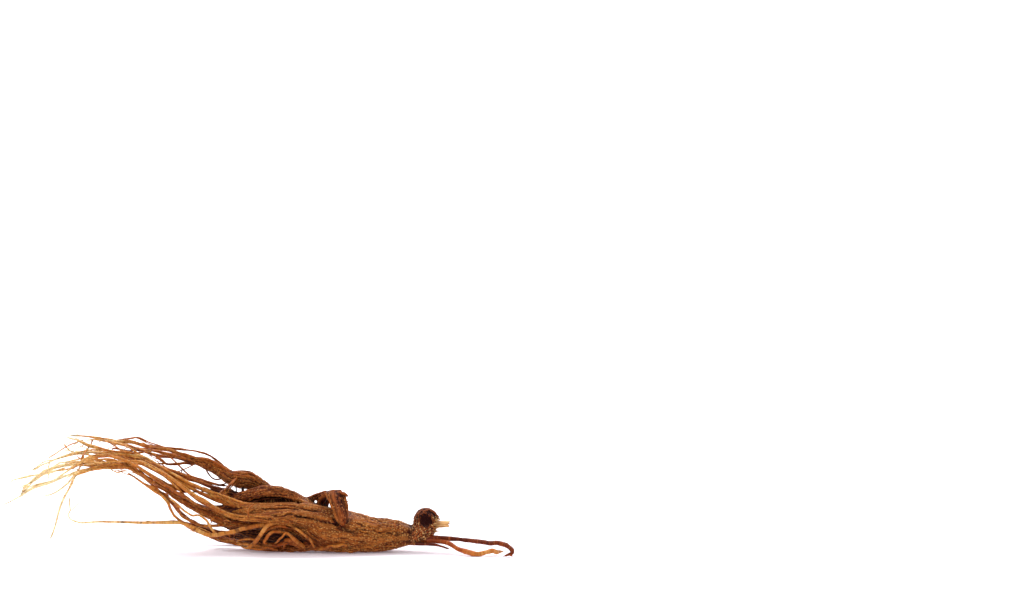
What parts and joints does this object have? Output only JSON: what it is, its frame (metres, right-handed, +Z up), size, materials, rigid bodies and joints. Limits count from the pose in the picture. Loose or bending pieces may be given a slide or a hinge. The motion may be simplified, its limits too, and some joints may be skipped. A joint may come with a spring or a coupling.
{
  "type": "ginseng root",
  "caption": "Dried red ginseng root lying on its belly: ridged main root, scaly neck with a broken stem stub, folded side root, legs and long fine rootlets.",
  "frame": {"origin": "middle of the small flat on the belly of the main root, at the surface that the root rests on", "axes": "+X along the root from the rootlets to the neck, +Y to the side that carries the back leg, +Z up"},
  "size_m": [0.2079, 0.0436, 0.0483],
  "materials": {
    "root_skin": "hard dried skin, brown on the main root to orange and straw on the rootlets, waxy sheen",
    "dry_stem": "dry straw-coloured fibre, matt"
  },
  "bodies": {
    "root": {"root": "root_skin", "stem_stub": "dry_stem"}
  },
  "joints": []
}
